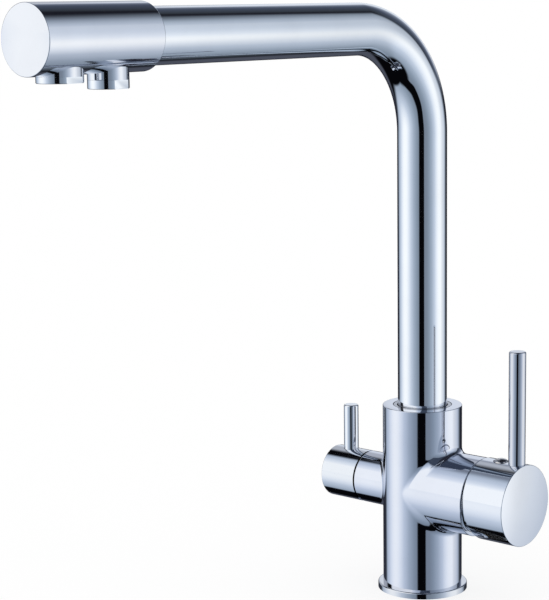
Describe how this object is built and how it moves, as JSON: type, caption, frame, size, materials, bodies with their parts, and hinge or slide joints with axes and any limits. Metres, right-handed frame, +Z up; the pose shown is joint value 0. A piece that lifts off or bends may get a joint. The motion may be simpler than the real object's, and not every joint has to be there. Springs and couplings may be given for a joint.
{
  "type": "three way filtered water tap",
  "caption": "Kitchen tap with a swivelling square-bend spout, a mixer lever on one side, a smaller filtered water lever on the other, and separate outlets for each.",
  "frame": {"origin": "centre of the deck hole, on the deck's top surface, where the base ring's underside rests", "axes": "+Z up along the body's axis, -Y along the spout at rest, +X towards the mixer lever, -X towards the filter lever"},
  "size_m": [0.135, 0.3133, 0.3883],
  "materials": {
    "chrome_plate": "bright polished chrome plate over brass",
    "plain_brass": "machined brass, unplated",
    "stainless_steel": "plain stainless steel",
    "zinc_plated_steel": "zinc plated pressed steel",
    "black_rubber": "soft black nitrile rubber",
    "grey_plastic": "moulded acetal, matt grey",
    "white_plastic": "moulded acetal, matt white",
    "clear_plastic_tube": "food grade polyethylene tube, milky",
    "white_ceramic": "polished white alumina ceramic",
    "index_plastic": "silver plated plastic, glossy"
  },
  "bodies": {
    "base": {"base_ring": "chrome_plate", "base_seal": "black_rubber", "horseshoe_washer": "black_rubber", "horseshoe_plate": "zinc_plated_steel", "fixing_stud": "plain_brass", "fixing_nut": "plain_brass", "body": "chrome_plate", "swivel_ring": "chrome_plate", "spout_retaining_screw": "stainless_steel", "cartridge_base": "grey_plastic", "cartridge_port_seals": "black_rubber", "cartridge_fixed_disc": "white_ceramic", "cartridge_housing": "grey_plastic", "cartridge_nut": "plain_brass", "cover_dome": "chrome_plate", "filter_headwork": "plain_brass", "filter_headwork_packing": "black_rubber", "filter_seat_washer": "black_rubber", "filter_fixed_disc": "white_ceramic"},
    "spout": {"spout_pipe": "chrome_plate", "spout_foot": "plain_brass", "spout_packing": "black_rubber", "filter_tube": "clear_plastic_tube", "filter_tube_plug": "plain_brass", "filter_plug_packing": "black_rubber", "outlet_housing": "chrome_plate", "outlet_manifold": "grey_plastic", "manifold_packing": "black_rubber", "mains_nozzle": "chrome_plate", "mains_washer": "black_rubber", "aerator_insert": "white_plastic", "filter_nozzle": "chrome_plate", "filter_nozzle_washer": "black_rubber", "filter_straightener": "white_plastic"},
    "mixer_guide": {"cartridge_guide": "white_plastic", "cartridge_pivot_pin": "stainless_steel"},
    "mixer_disc": {"cartridge_moving_disc": "white_ceramic", "cartridge_disc_driver": "white_plastic"},
    "mixer_handle": {"cartridge_stem": "plain_brass", "mixer_hub": "chrome_plate", "mixer_lever": "chrome_plate", "mixer_grub_screw": "stainless_steel", "index_plug": "index_plastic"},
    "filter_handle": {"filter_moving_disc": "white_ceramic", "filter_spindle": "plain_brass", "filter_spindle_clip": "stainless_steel", "filter_hub": "chrome_plate", "filter_lever": "chrome_plate", "filter_grub_screw": "stainless_steel"}
  },
  "joints": [
    {"name": "spout_swivel", "type": "hinge", "parent": "base", "child": "spout", "pos_m": [0, 0, 0], "axis": [0, 0, 1], "continuous": true},
    {"name": "mixer_turn", "type": "hinge", "parent": "base", "child": "mixer_guide", "pos_m": [0, 0, 0.0603], "axis": [1, 0, 0], "range_deg": [-45, 45]},
    {"name": "mixer_lift", "type": "hinge", "parent": "mixer_guide", "child": "mixer_handle", "pos_m": [0.031, 0, 0.0603], "axis": [0, 1, 0], "range_deg": [0, 20]},
    {"name": "mixer_disc_slide", "type": "slide", "parent": "mixer_guide", "child": "mixer_disc", "axis": [0, 0, 1], "range_m": [0, 0.00193]},
    {"name": "filter_turn", "type": "hinge", "parent": "base", "child": "filter_handle", "pos_m": [0, 0, 0.0594], "axis": [1, 0, 0], "range_deg": [0, 90]}
  ],
  "couplings": [
    {"joint": "mixer_disc_slide", "follows": "mixer_lift", "m_per_rad": 0.005487}
  ]
}
